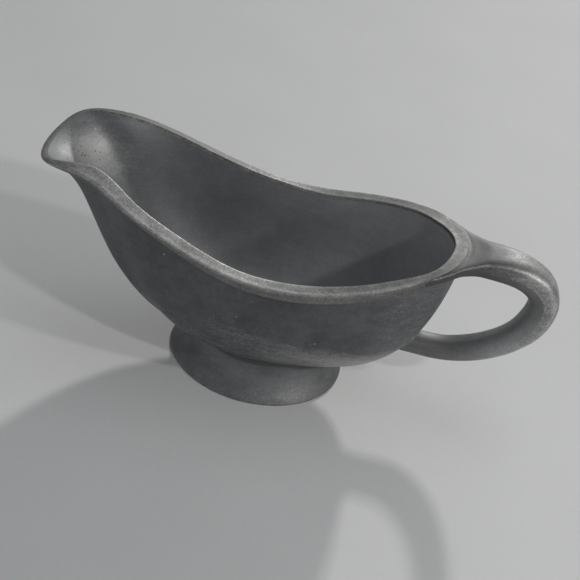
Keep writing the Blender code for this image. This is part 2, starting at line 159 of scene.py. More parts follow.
def open_spline(points, knots, q):
    """Natural cubic spline through points."""
    n, h = len(points), np.diff(knots)
    a, r = np.eye(n), np.zeros_like(points)
    for i in range(1, n - 1):
        a[i, i - 1], a[i, i], a[i, i + 1] = h[i - 1], 2 * (h[i - 1] + h[i]), h[i]
        r[i] = 6 * ((points[i + 1] - points[i]) / h[i] - (points[i] - points[i - 1]) / h[i - 1])
    second = np.linalg.solve(a, r)
    k = np.clip(np.searchsorted(knots, q, side="right") - 1, 0, n - 2)
    s, t = ((knots[k + 1] - q) / h[k])[:, None], ((q - knots[k]) / h[k])[:, None]
    hk = h[k][:, None]
    return (
        s * points[k]
        + t * points[k + 1]
        + ((s**3 - s) * second[k] + (t**3 - t) * second[k + 1]) * hk * hk / 6
    )


def even_curve(values, knots, q):
    """Cubic through values that never overshoots between two of them."""
    values = np.asarray(values, float)
    h = np.diff(knots)
    d = np.diff(values) / h
    slope = np.zeros(len(values))
    for i in range(1, len(values) - 1):
        if d[i - 1] * d[i] > 0:
            slope[i] = 2 * d[i - 1] * d[i] / (d[i - 1] + d[i])
    slope[0], slope[-1] = d[0], d[-1]
    k = np.clip(np.searchsorted(knots, q, side="right") - 1, 0, len(h) - 1)
    t = (q - knots[k]) / h[k]
    return (
        (2 * t**3 - 3 * t**2 + 1) * values[k]
        + (t**3 - 2 * t**2 + t) * h[k] * slope[k]
        + (3 * t**2 - 2 * t**3) * values[k + 1]
        + (t**3 - t**2) * h[k] * slope[k + 1]
    )


def mouth_full():
    half = np.array(MOUTH)[::-1]
    full = np.r_[half, half[1:-1][::-1] * [1, -1, 1]]
    step = np.linalg.norm(np.roll(full, -1, 0) - full, axis=1)
    return full, np.r_[0, np.cumsum(step)][:-1] / step.sum()


FULL, KNOTS = mouth_full()


class Rim:
    """The mouth at positions u (0 at the handle, 0.5 at the lip's middle), with its band's local frame."""

    def __init__(self, u):
        self.u = np.atleast_1d(np.asarray(u, float))
        self.edge = closed_spline(FULL, KNOTS, self.u)
        e = 1e-4
        run = closed_spline(FULL, KNOTS, self.u + e) - closed_spline(FULL, KNOTS, self.u - e)
        run[:, 2] = 0
        run /= np.linalg.norm(run, axis=1)[:, None]
        inward = np.c_[-run[:, 1], run[:, 0], np.zeros(len(run))]
        self.inward = inward
        up = np.array([0, 0, 1.0])
        self.angle = np.arctan2(
            self.edge[:, 1] / MOUTH_HALF_WIDTH, (self.edge[:, 0] - MOUTH_CENTRE) / MOUTH_HALF_LENGTH
        )
        forward = -np.cos(self.angle)
        self.forward = forward
        self.spout = smooth(0.73, 0.92, forward)  # where the band thins into the lip's rounded edge
        self.lip = smooth(0.70, 0.97, forward)
        self.front = smooth(0.35, 0.97, forward)
        self.back = smooth(0.35, 0.97, -forward)
        away = np.minimum(self.u % 1, 1 - self.u % 1)
        level = smooth(0.13, 0.03, away)  # the band levels out into the top of the handle
        self.edge[:, 2] += level * LEVEL_LIFT
        side = self.edge[:, 1] / MOUTH_HALF_WIDTH
        # hand finishing left the rim a little high, and the band wide, behind the middle on one side
        self.edge[:, 2] += 1.1 * np.exp(-(((forward + 0.65) / 0.27) ** 2)) * smooth(0.25, 0.7, side)
        shoulder = smooth(-0.35, 0.45, forward)
        self.far_behind_middle = smooth(0.3, 0.8, side) * smooth(-0.2, 0.25, forward)  # less bare metal on the band here, and a flatter band
        flatter = 8.0 * self.far_behind_middle * (1 - self.lip)
        tilt = np.radians(2.0 + 18.0 * shoulder - flatter - (LEVEL_TILT - 8.0) * level)[:, None]
        self.across = inward * np.cos(tilt) + up * np.sin(tilt)
        self.down = inward * np.sin(tilt) - up * np.cos(tilt)
        lean = np.radians(BAND_TILT - LEVEL_TILT * level + (BAND_TILT_LIP - BAND_TILT) * self.lip)[:, None]
        over, under = inward * np.cos(lean) + up * np.sin(lean), inward * np.sin(lean) - up * np.cos(lean)
        self.width = BAND_WIDTH + (BAND_WIDTH_SHOULDER - BAND_WIDTH) * smooth(0.0, 0.6, forward)
        self.width = self.width + (BAND_WIDTH_LIP - self.width) * self.lip
        self.leg = BAND_LEG + (BAND_LEG_LIP - BAND_LEG) * self.lip
        self.flange = BAND_FLANGE + (BAND_FLANGE_LIP - BAND_FLANGE) * self.lip
        self.height = BAND_HEIGHT + (BAND_HEIGHT_LIP - BAND_HEIGHT) * self.lip
        far_back = smooth(0.1, 0.6, side) * smooth(-0.05, -0.4, forward)
        self.band_width = 4.2 + 1.1 * shoulder + 1.9 * far_back + 1.2 * smooth(-0.85, -1.0, forward) * (1 - far_back)
        self.band_width += 1.6 * np.exp(-(((forward + 0.33) / 0.28) ** 2)) * smooth(-0.2, -0.8, side)
        self.band_width += 0.9 * np.exp(-(((forward - 0.70) / 0.14) ** 2)) * smooth(-0.2, -0.6, side)
        self.band_width -= 0.5 * np.exp(-(((forward + 0.82) / 0.10) ** 2)) * smooth(0.0, -0.4, side)
        self.band_width = self.band_width + (BAND_WIDTH_LIP - self.band_width) * self.lip
        self.band_height = self.height - 1.4 * smooth(-0.05, 0.5, forward) * (1 - self.lip)
        self.wall_top = self.edge + (self.leg + GAP)[:, None] * over + (self.height - 0.5)[:, None] * under

    def at(self, a, b):
        """Point a across the flange and b down the leg from the outer top edge."""
        a = np.broadcast_to(a, self.u.shape)[:, None]
        b = np.broadcast_to(b, self.u.shape)[:, None]
        return self.edge + a * self.across + b * self.down


NOSE = 2.5  # depth of the lip's rounded edge
NOSE_LOW, NOSE_HIGH = -0.42, 1.72


def nose_point(rim, inwards, up):
    return rim.edge + rim.inward * np.reshape(inwards, (-1, 1)) + np.c_[0 * rim.u, 0 * rim.u, up + 0 * rim.u]


def round_positions(count):
    """Rim positions, closer together round the lip's corners and round the handle's root."""
    fine = np.linspace(0, 1, 8001)
    away = np.minimum(fine, 1 - fine)
    weight = 1 + 1.6 * np.exp(-(((fine - 0.5) / 0.10) ** 2)) + 0.7 * np.exp(-((away / 0.10) ** 2))
    total = np.r_[0, np.cumsum((weight[1:] + weight[:-1]) / 2)]
    return np.interp(np.arange(count) / count, total / total[-1], fine)


ROUND = round_positions(N_ROUND)
RIM = Rim(ROUND)
RUN_LENGTH = np.linalg.norm(
    np.diff(closed_spline(FULL, KNOTS, np.linspace(0, 1, 2001)), axis=0), axis=1
).sum()


def wall_outside(rim, t):
    """Outer face of the bowl: t = 1 under the band's leg, t = 0 at the neck. Shape (t, u, 3)."""
    top = rim.wall_top
    neck = np.c_[
        NECK_HALF_LENGTH * np.cos(rim.angle),
        NECK_HALF_WIDTH * np.sin(rim.angle),
        np.full(len(rim.u), FOOT_HEIGHT),
    ]
    reach = top - neck
    side = 1 - rim.front - rim.back
    poles = [neck]
    for lip, mid, back in zip(CURVE_LIP, CURVE_SIDE, CURVE_BACK):
        out = rim.front * lip[0] + side * mid[0] + rim.back * back[0]
        up = rim.front * lip[1] + side * mid[1] + rim.back * back[1]
        poles.append(neck + reach * np.c_[out, out, up])
    poles.append(top)
    t = np.atleast_1d(t)[:, None, None]
    return sum(math.comb(4, i) * t**i * (1 - t) ** (4 - i) * p for i, p in enumerate(poles))


def inward_normals(grid):
    along = np.gradient(grid, axis=0)
    round_ = np.roll(grid, -1, axis=1) - np.roll(grid, 1, axis=1)
    n = np.cross(round_, along)
    n /= np.linalg.norm(n, axis=2)[:, :, None]
    return -n if n[0, 0] @ np.array([-1.0, 0, 0.2]) < 0 else n


BACK_U = np.linspace(-0.11, 0.11, 91)
BACK_FACE = wall_outside(Rim(BACK_U), np.linspace(0, 1, 160))


def back_wall_x(y, z):
    """x of the bowl's outer face behind the neck, at side position y and height z."""
    xs = [np.interp(z, BACK_FACE[:, i, 2], BACK_FACE[:, i, 0]) for i in range(len(BACK_U))]
    ys = [np.interp(z, BACK_FACE[:, i, 2], BACK_FACE[:, i, 1]) for i in range(len(BACK_U))]
    return np.interp(y, ys, xs)


# ---------------------------------------------------------------- hand-made unevenness
def drift_at(x, y, z):
    """Three smooth numbers at a place, the same in every run."""
    return Vector([noise.noise(Vector((x + a, y + b, z + c))) for a, b, c in ((9.3, -1.5, -7.9), (0, 0, 0), (6.3, 0.2, -2.7))])


def warp(points, weight=1.0):
    """Moves points by one smooth field that all pieces share, so that neighbours keep their hairline."""
    out = np.array(points, float)
    for i, p in enumerate(out):
        x, y, z = p
        slow = drift_at(x / 17 + 3.1, y / 17 + 1.7, z / 17 + 8.4)
        mid = drift_at(x / 5.5 + 11.3, y / 5.5 + 4.9, z / 5.5 + 2.2)
        rest = min(1.0, max(0.0, z / 4.0))
        out[i, 0] += weight * (0.13 * slow.x + 0.035 * mid.x)
        out[i, 1] += weight * (0.13 * slow.y + 0.035 * mid.y)
        out[i, 2] += weight * rest * (0.13 * slow.z + 0.035 * mid.z)
    return out


# ---------------------------------------------------------------- meshes
def piece_from(name, rings, closed_rows, caps, wear_sheen, mat, sharp=180.0, inner=None):
    """A skin over rings of equal count. caps: (first point or None, last point or None), or 'flat'.

    One wear value per ring point marks the material's worn places and its painted highlights."""
    rings = [np.asarray(r, float) for r in rings]
    n = len(rings[0])
    flat = np.concatenate(rings)
    wear_and_sheen = np.concatenate([np.broadcast_to(w, n) for w in wear_sheen]).astype(float)
    faces = []
    for r in range(len(rings) - (0 if closed_rows else 1)):
        a, b = r * n, ((r + 1) % len(rings)) * n
        for i in range(n):
            j = (i + 1) % n
            faces.append((a + i, a + j, b + j, b + i))
    points = [flat]
    extra = []
    if caps == "flat":
        faces.append(tuple(range(n))[::-1])
        faces.append(tuple(range((len(rings) - 1) * n, len(rings) * n)))
    elif caps:
        for which, tip in enumerate(caps):
            if tip is None:
                continue
            index = len(flat) + len(extra)
            extra.append(tip)
            base = 0 if which == 0 else (len(rings) - 1) * n
            for i in range(n):
                faces.append((base + i, base + (i + 1) % n, index))
    if extra:
        points.append(np.array(extra, float))
        wear_and_sheen = np.r_[wear_and_sheen, np.full(len(extra), wear_and_sheen[-1])]
    co = warp(np.concatenate(points))
    return make_piece(name, co, faces, wear_and_sheen, mat, sharp, inner)


def make_piece(name, co, faces, wear_and_sheen, mat, sharp, inner=None):
    co = (co + [SHIFT, 0, 0]) * MM
    bm = bmesh.new()
    layer = bm.verts.layers.float.new("wear_and_sheen")
    inside = bm.verts.layers.float.new("inner")
    verts = [bm.verts.new(tuple(p)) for p in co]
    if inner is not None:
        for v, w in zip(verts, inner):
            v[inside] = float(w)
    for v, w in zip(verts, wear_and_sheen):
        v[layer] = float(w)
    for f in faces:
        ids = []
        for i in f:
            if i not in ids:
                ids.append(i)
        if len(ids) > 2:
            bm.faces.new([verts[i] for i in ids])
    bmesh.ops.remove_doubles(bm, verts=bm.verts, dist=1e-8)
    bmesh.ops.recalc_face_normals(bm, faces=bm.faces)
    mesh = bpy.data.meshes.new(name)
    bm.to_mesh(mesh)
    bm.free()
    mesh.materials.append(mat)
    mesh.shade_smooth()
    if sharp < 180:
        mesh.set_sharp_from_angle(angle=math.radians(sharp))
    ob = bpy.data.objects.new(name, mesh)
    bpy.context.scene.collection.objects.link(ob)
    return ob


def stands_for(ob, node):
    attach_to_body(ob, "root")
    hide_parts(node)
    return ob


# ---------------------------------------------------------------- materials
class Nodes:
    """Short names for building a node tree."""

    def __init__(self, name):
        self.mat = bpy.data.materials.new(name)
        self.mat.use_nodes = True
        self.tree = self.mat.node_tree
        self.tree.nodes.clear()

    def add(self, kind, **inputs):
        node = self.tree.nodes.new(kind)
        for key, value in inputs.items():
            if key in ("operation", "blend_type", "data_type", "noise_dimensions", "feature", "interpolation_type", "attribute_name", "noise_type", "invert", "clamp", "use_clamp"):
                setattr(node, key, value)
        for key, value in inputs.items():
            if key.startswith("i_"):
                socket = node.inputs[key[2:].replace("_", " ")]
                self.set(socket, value)
        return node

    def set(self, socket, value):
        if isinstance(value, bpy.types.NodeSocket):
            self.tree.links.new(value, socket)
        else:
            socket.default_value = value

    def math(self, operation, a, b=0.0, c=0.0, clamp=False):
        node = self.tree.nodes.new("ShaderNodeMath")
        node.operation = operation
        node.use_clamp = clamp
        for socket, value in zip(node.inputs, (a, b, c)):
            self.set(socket, value)
        return node.outputs[0]

    def ramp(self, value, lo, hi, out_lo=0.0, out_hi=1.0):
        node = self.tree.nodes.new("ShaderNodeMapRange")
        node.interpolation_type = "SMOOTHSTEP"
        for key, v in (("Value", value), ("From Min", lo), ("From Max", hi), ("To Min", out_lo), ("To Max", out_hi)):
            self.set(node.inputs[key], v)
        return node.outputs["Result"]

    def mix(self, factor, a, b, blend="MIX"):
        node = self.tree.nodes.new("ShaderNodeMix")
        node.data_type = "RGBA"
        node.blend_type = blend
        self.set(node.inputs[0], factor)
        self.set(node.inputs[6], a)
        self.set(node.inputs[7], b)
        return node.outputs[2]

    def noise(self, vector, scale, detail=3.0, rough=0.55, distortion=0.0):
        node = self.tree.nodes.new("ShaderNodeTexNoise")
        node.noise_dimensions = "3D"
        for key, v in (("Vector", vector), ("Scale", scale), ("Detail", detail), ("Roughness", rough), ("Distortion", distortion)):
            self.set(node.inputs[key], v)
        return node.outputs[0]

    def mapped(self, vector, scale, location=(0, 0, 0), rotation=(0, 0, 0)):
        node = self.tree.nodes.new("ShaderNodeMapping")
        self.set(node.inputs["Vector"], vector)
        self.set(node.inputs["Scale"], scale)
        self.set(node.inputs["Location"], location)
        self.set(node.inputs["Rotation"], rotation)
        return node.outputs[0]


def aged_silver(
    name,
    dark,
    light,
    wear_and_sheen,
    rough,
    streak=(0.02, 0.02, 1.4),
    streak_gain=0.10,
    grain_gain=0.16,
    pit_gain=0.35,
    bump=0.02,
    metal=0.62,
    seed=0.0,
    inner_dark=(0.2, 0.2, 0.2),
    inner_light=(0.3, 0.3, 0.3),
    fade=(-100.0, 100.0, 1.0, 1.0),
):
    """Cast and hand-finished silver under a dull grey patina, in millimetre coordinates.

    dark and light are the patina's two tones, and the third colour is the bare metal of rubbed places and of painted
    highlights. fade is how much the colour lightens or darkens along the boat: two places in x, and the factors there."""
    n = Nodes(name)
    texture = n.add("ShaderNodeTexCoord")
    mm = n.mapped(texture.outputs["Object"], (1000, 1000, 1000), location=(seed, seed * 0.7, seed * 1.3))
    attribute = n.add("ShaderNodeAttribute", attribute_name="wear_and_sheen")
    rubbed_and_sheen = attribute.outputs["Fac"]
    inner = n.add("ShaderNodeAttribute", attribute_name="inner").outputs["Fac"]
    split = n.add("ShaderNodeSeparateXYZ", i_Vector=mm)
    along = n.math("SUBTRACT", split.outputs[0], seed)

    broad = n.noise(mm, 0.045, 3.0, 0.5, 0.4)
    cloud = n.noise(mm, 0.22, 4.0, 0.6, 0.6)
    fleck = n.noise(mm, 0.9, 4.0, 0.65)
    grain = n.noise(mm, 2.6, 3.0, 0.7)
    brushed = n.noise(n.mapped(mm, streak), 1.0, 4.0, 0.75)

    # Patina: broad clouds, with finer flecks and fine lines of handling over them
    tone = n.math("ADD", n.math("MULTIPLY", n.ramp(broad, 0.32, 0.68), 0.42), n.math("MULTIPLY", n.ramp(cloud, 0.3, 0.7), 0.38))
    tone = n.math("ADD", tone, n.math("MULTIPLY", n.ramp(fleck, 0.35, 0.7), 0.20))
    colour = n.mix(tone, (*dark, 1), (*light, 1))
    lines = n.ramp(brushed, 0.30, 0.72, 1 - streak_gain, 1 + streak_gain)
    speck = n.ramp(grain, 0.28, 0.74, 1 - grain_gain, 1 + grain_gain)
    shade = n.math("MULTIPLY", n.math("MULTIPLY", lines, speck), n.ramp(along, *fade))

    # Rubbed places and painted highlights: the bare metal shows through in a broken edge
    smear = n.noise(n.mapped(mm, (0.10, 0.10, 0.42)), 1.0, 5.0, 0.68, 0.5)
    broken = n.math("ADD", n.math("MULTIPLY", fleck, 0.35), n.math("MULTIPLY", grain, 0.4))
    broken = n.math("ADD", broken, n.math("MULTIPLY", smear, 0.42))
    show = n.ramp(n.math("ADD", rubbed_and_sheen, n.math("MULTIPLY", n.math("SUBTRACT", broken, 0.58), 1.7)), 0.12, 0.95)
    show = n.math("MULTIPLY", show, n.ramp(rubbed_and_sheen, 0.0, 0.12))
    # Second tones where the inner attribute is set, scaled by a ramp along x. On the bowl's inside this is painted
    # light and shade: much lighter than the outside to brighten the shaded inside, darker at the lit lip end and
    # lighter at the shaded handle end. On the handle's lower arm it is painted light; on the band's far side it is
    # only a darker tone.
    lift = n.add("ShaderNodeCombineColor")
    for socket in lift.inputs[:3]:
        n.set(socket, n.ramp(along, -35.0, 30.0, 0.55, 1.24))
    within = n.mix(1.0, n.mix(tone, (*inner_dark, 1), (*inner_light, 1)), lift.outputs[0], "MULTIPLY")
    colour = n.mix(n.math("MULTIPLY", inner, 0.9), colour, within)
    colour = n.mix(show, colour, (*wear_and_sheen, 1))
    combine = n.add("ShaderNodeCombineColor")
    for socket in combine.inputs[:3]:
        n.set(socket, shade)
    colour = n.mix(1.0, colour, combine.outputs[0], "MULTIPLY")

    # Casting pits, in patches
    cells = n.tree.nodes.new("ShaderNodeTexVoronoi")
    cells.feature = "F1"
    n.set(cells.inputs["Vector"], n.mapped(mm, (1, 1, 1), location=(5.5, 2.5, 9.5)))
    n.set(cells.inputs["Scale"], 0.62)
    n.set(cells.inputs["Randomness"], 1.0)
    patch = n.ramp(n.noise(mm, 0.11, 2.0, 0.5), 0.46, 0.62)
    patch = n.math("MULTIPLY", patch, n.ramp(along, -70.0, -88.0, 0.25, 1.0))
    size = n.math("MULTIPLY", patch, 0.30)
    pit = n.math("MULTIPLY", n.ramp(cells.outputs["Distance"], size, n.math("ADD", size, -0.16), 0.0, 1.0), patch)
    colour = n.mix(n.math("MULTIPLY", pit, pit_gain), colour, (0.035, 0.036, 0.038, 1))

    # Bright nicks, few and small
    chips = n.tree.nodes.new("ShaderNodeTexVoronoi")
    n.set(chips.inputs["Vector"], n.mapped(mm, (1, 1, 1), location=(15.5, 42.5, 3.5)))
    n.set(chips.inputs["Scale"], 0.085)
    nick = n.ramp(chips.outputs["Distance"], 0.055, 0.03, 0.0, 0.55)
    colour = n.mix(nick, colour, (*wear_and_sheen, 1))

    roughness = n.math("ADD", rough, n.math("MULTIPLY", n.math("SUBTRACT", cloud, 0.5), 0.16))
    roughness = n.math("ADD", roughness, n.math("MULTIPLY", n.math("SUBTRACT", grain, 0.5), 0.14))
    roughness = n.math("SUBTRACT", roughness, n.math("MULTIPLY", show, 0.07))
    roughness = n.math("ADD", roughness, n.math("MULTIPLY", pit, 0.2), clamp=True)

    relief = n.math("ADD", n.math("MULTIPLY", grain, 0.55), n.math("MULTIPLY", fleck, 0.9))
    relief = n.math("ADD", relief, n.math("MULTIPLY", brushed, streak_gain * 3.0))
    relief = n.math("SUBTRACT", relief, n.math("MULTIPLY", pit, 1.6))
    bumped = n.tree.nodes.new("ShaderNodeBump")
    n.set(bumped.inputs["Strength"], 1.0)
    n.set(bumped.inputs["Distance"], bump * MM)
    n.set(bumped.inputs["Height"], relief)

    shader = n.tree.nodes.new("ShaderNodeBsdfPrincipled")
    n.set(shader.inputs["Base Color"], colour)
    n.set(shader.inputs["Metallic"], n.math("SUBTRACT", n.math("ADD", metal, n.math("MULTIPLY", show, 0.2)), n.math("MULTIPLY", inner, 0.3), clamp=True))
    n.set(shader.inputs["Roughness"], roughness)
    n.set(shader.inputs["Normal"], bumped.outputs[0])
    out = n.tree.nodes.new("ShaderNodeOutputMaterial")
    n.tree.links.new(shader.outputs[0], out.inputs[0])
    n.mat.diffuse_color = (*light, 1)
    return n.mat


# The bowl's second tones are painted light: about three times lighter than its outside, they brighten the shaded
# inside of the bowl.
BOWL_SILVER = aged_silver(
    "bowl_patina", (0.105, 0.109, 0.116), (0.195, 0.199, 0.205), (0.46, 0.46, 0.45), 0.60,
    streak=(0.05, 0.05, 0.8), streak_gain=0.04, grain_gain=0.13, pit_gain=0.75, bump=0.030,
    inner_dark=(0.33, 0.338, 0.352), inner_light=(0.43, 0.438, 0.452),
)
BAND_SILVER = aged_silver(
    "band_patina", (0.17, 0.17, 0.167), (0.27, 0.27, 0.262), (0.58, 0.58, 0.56), 0.55,
    streak=(0.5, 1.2, 0.5), streak_gain=0.08, grain_gain=0.20, bump=0.040, seed=31.0,
    fade=(5.0, 62.0, 1.03, 0.66), inner_dark=(0.13, 0.13, 0.13), inner_light=(0.21, 0.21, 0.206),
)
# The foot's fade is painted light and shade: lighter on the shaded left side, darker on the lit right side.
FOOT_SILVER = aged_silver(
    "foot_patina", (0.145, 0.149, 0.156), (0.235, 0.238, 0.242), (0.42, 0.42, 0.41), 0.60,
    streak=(0.05, 0.05, 0.9), streak_gain=0.04, grain_gain=0.14, bump=0.030, seed=57.0,
    fade=(-30.0, 30.0, 1.34, 0.70),
)
# Its second tones, lighter than its own, are painted light for the shaded lower arm.
HANDLE_SILVER = aged_silver(
    "handle_patina", (0.14, 0.143, 0.145), (0.225, 0.226, 0.224), (0.60, 0.60, 0.585), 0.52,
    streak=(0.5, 1.2, 0.5), streak_gain=0.05, grain_gain=0.18, bump=0.045, seed=83.0,
    fade=(68.0, 94.0, 0.52, 1.06), inner_dark=(0.258, 0.261, 0.265), inner_light=(0.362, 0.365, 0.369),
)
# Painted light: the solder is a little lighter, to soften the shade in the fillets' hollows under the belly and the
# handle.
SOLDER = aged_silver(
    "solder", (0.16, 0.163, 0.169), (0.22, 0.222, 0.226), (0.38, 0.38, 0.37), 0.60,
    streak=(0.6, 0.6, 0.6), streak_gain=0.03, grain_gain=0.14, bump=0.035, seed=110.0,
)


# ---------------------------------------------------------------- bowl
def build_bowl():
    t = np.linspace(1, 0, N_WALL) ** 1.0
    outside = wall_outside(RIM, t)
    shares = np.linspace(1, 0, 15)[1:-1]
    below = [
        np.c_[outside[-1][:, :2] * s, np.full(len(RIM.u), FOOT_HEIGHT - FLOOR_SAG * (1 - s * s))]
        for s in shares
    ]
    grid = np.array(list(outside) + below)
    normal = inward_normals(grid)
    edge = (RIM.band_width - RIM.leg - GAP - 0.05) * (1 - RIM.spout) + 2.03 * RIM.spout
    rows_t = np.r_[t, np.zeros(len(shares))]
    grow = smooth(1.0, 0.55, rows_t)[:, None]
    thick = edge[None, :] * (1 - grow) + WALL * grow
    inside = grid + normal * thick[:, :, None]
    # the inner face ends under the flange, and flush with the lip's rounded edge
    end = RIM.at(RIM.band_width - 0.05, RIM.flange + GAP) * (1 - RIM.spout[:, None])
    end = end + nose_point(RIM, NOSE + 0.05, NOSE_HIGH - 0.02) * RIM.spout[:, None]
    draw = smooth(0.70, 1.0, rows_t)[:, None, None] ** 2
    inside = inside + draw * (end - inside[0])[None]
    # the crease over the neck is dressed smooth on the inside, and so is the run into the lip
    smoothed = inside.copy()
    near = smooth(0.30, 0.05, rows_t[1:-1])[:, None, None]
    far = (smooth(0.45, 0.75, rows_t[1:-1])[:, None] * RIM.front[None, :])[:, :, None]
    # the sides run into the spout without a fold
    fold = smooth(0.05, 0.25, rows_t[1:-1])[:, None] * smooth(0.97, 0.75, rows_t[1:-1])[:, None]
    fold = (fold * np.exp(-(((RIM.forward - 0.5) / 0.3) ** 2))[None, :])[:, :, None]
    for step in range(160):
        body = smoothed[1:-1]
        mid = (np.roll(body, 1, axis=1) + np.roll(body, -1, axis=1)) / 2
        smoothed[1:-1] += 0.5 * fold * (mid - body)
    for turn in range(11):
        for step in range(6):
            mid = (smoothed[:-2] + smoothed[2:]) / 2
            k = near + far * (turn < 4 or turn == 10)
            smoothed[1:-1] += 0.5 * np.minimum(k, 1) * (mid - smoothed[1:-1])
        if turn < 10:
            depth = np.sum((smoothed - grid) * normal, axis=2, keepdims=True)
            smoothed[1:] += (normal * np.maximum(0, 1.6 - depth))[1:]
    inside = smoothed
    spout = RIM.spout[:, None]
    first = RIM.at(RIM.leg + GAP, RIM.flange + GAP) * (1 - spout) + nose_point(RIM, NOSE + 0.06, 0.4) * spout
    last = RIM.at(RIM.band_width - 0.08, RIM.flange + GAP) * (1 - spout) + nose_point(RIM, NOSE + 0.06, 1.2) * spout
    rings, wear_sheen, inner = [first], [np.zeros(N_ROUND)], []
    for r, tt in zip(grid, rows_t):
        # scuffs low on the belly, more of them towards the handle, and rubbing under the band
        low = smooth(0.02, 0.16, tt) * smooth(0.62, 0.30, tt)
        scuff = low * (0.22 + 0.34 * smooth(-20, 42, r[:, 0])) * smooth(4, -14, r[:, 1])
        drag = 38 - 0.19 * (r[:, 0] + 21) - r[:, 2]
        scuff = scuff + 0.30 * np.exp(-((drag / 7.0) ** 2)) * smooth(-34, -14, r[:, 0]) * smooth(4, -14, r[:, 1])
        scuff = scuff + 0.10 * low + 0.22 * smooth(25, 60, r[:, 0]) * smooth(0.02, 0.16, tt)
        rings.append(r)
        wear_sheen.append(scuff)
    for r, tt in zip(inside[::-1], rows_t[::-1]):
        # painted highlight: bright bare-metal patches in the lip's trough, where the back light falls; the strip just
        # under the band is rubbing
        highlight_spots = ((0.80, (-82, 8, 73), 9.5), (0.42, (-73, 14, 66), 12.5), (0.30, (-88, -2, 77), 8.0))
        trough_highlight = sum(
            gain * np.exp(-np.sum((r - centre) ** 2, axis=1) / size**2) for gain, centre, size in highlight_spots
        )
        strip = 0.14 * smooth(0.93, 0.985, tt) * (1 - RIM.lip)
        rings.append(r)
        wear_sheen.append(trough_highlight + strip)
        inner.append(len(rings) - 1)
    rings.append(last)
    wear_sheen.append(0.35 * np.ones(N_ROUND))
    # rings run: under the flange, down the outside, in along the floor; then the inside, outwards and up
    n_out = 1 + len(grid)
    out_rings, in_rings = rings[:n_out], rings[n_out:]
    n = N_ROUND
    flat = np.concatenate(out_rings + in_rings)
    wear_and_sheen = np.concatenate(wear_sheen)
    faces = []

    def skin(a, b):
        for i in range(n):
            j = (i + 1) % n
            faces.append((a * n + i, a * n + j, b * n + j, b * n + i))

    for r in range(n_out - 1):
        skin(r, r + 1)
    for r in range(n_out, len(rings) - 1):
        skin(r, r + 1)
    skin(len(rings) - 1, 0)
    flat = np.r_[flat, [[0, 0, FOOT_HEIGHT - FLOOR_SAG], [0, 0, np.mean(inside[-1][:, 2]) - 0.01]]]
    wear_and_sheen = np.r_[wear_and_sheen, 0, 0]
    tip_out, tip_in = len(flat) - 2, len(flat) - 1
    for i in range(n):
        j = (i + 1) % n
        faces.append(((n_out - 1) * n + i, (n_out - 1) * n + j, tip_out))
        faces.append((n_out * n + i, n_out * n + j, tip_in))
    # the inside rows take the second tones: painted light on the shaded inside
    inner_mark = np.zeros(len(flat))
    for r in inner + [len(rings) - 1]:
        inner_mark[r * n : (r + 1) * n] = 1.0
    inner_mark[tip_in] = 1.0
    ob = make_piece("bowl", warp(flat), faces, wear_and_sheen, BOWL_SILVER, 60, inner_mark)
    return stands_for(ob, "bowl_shell")


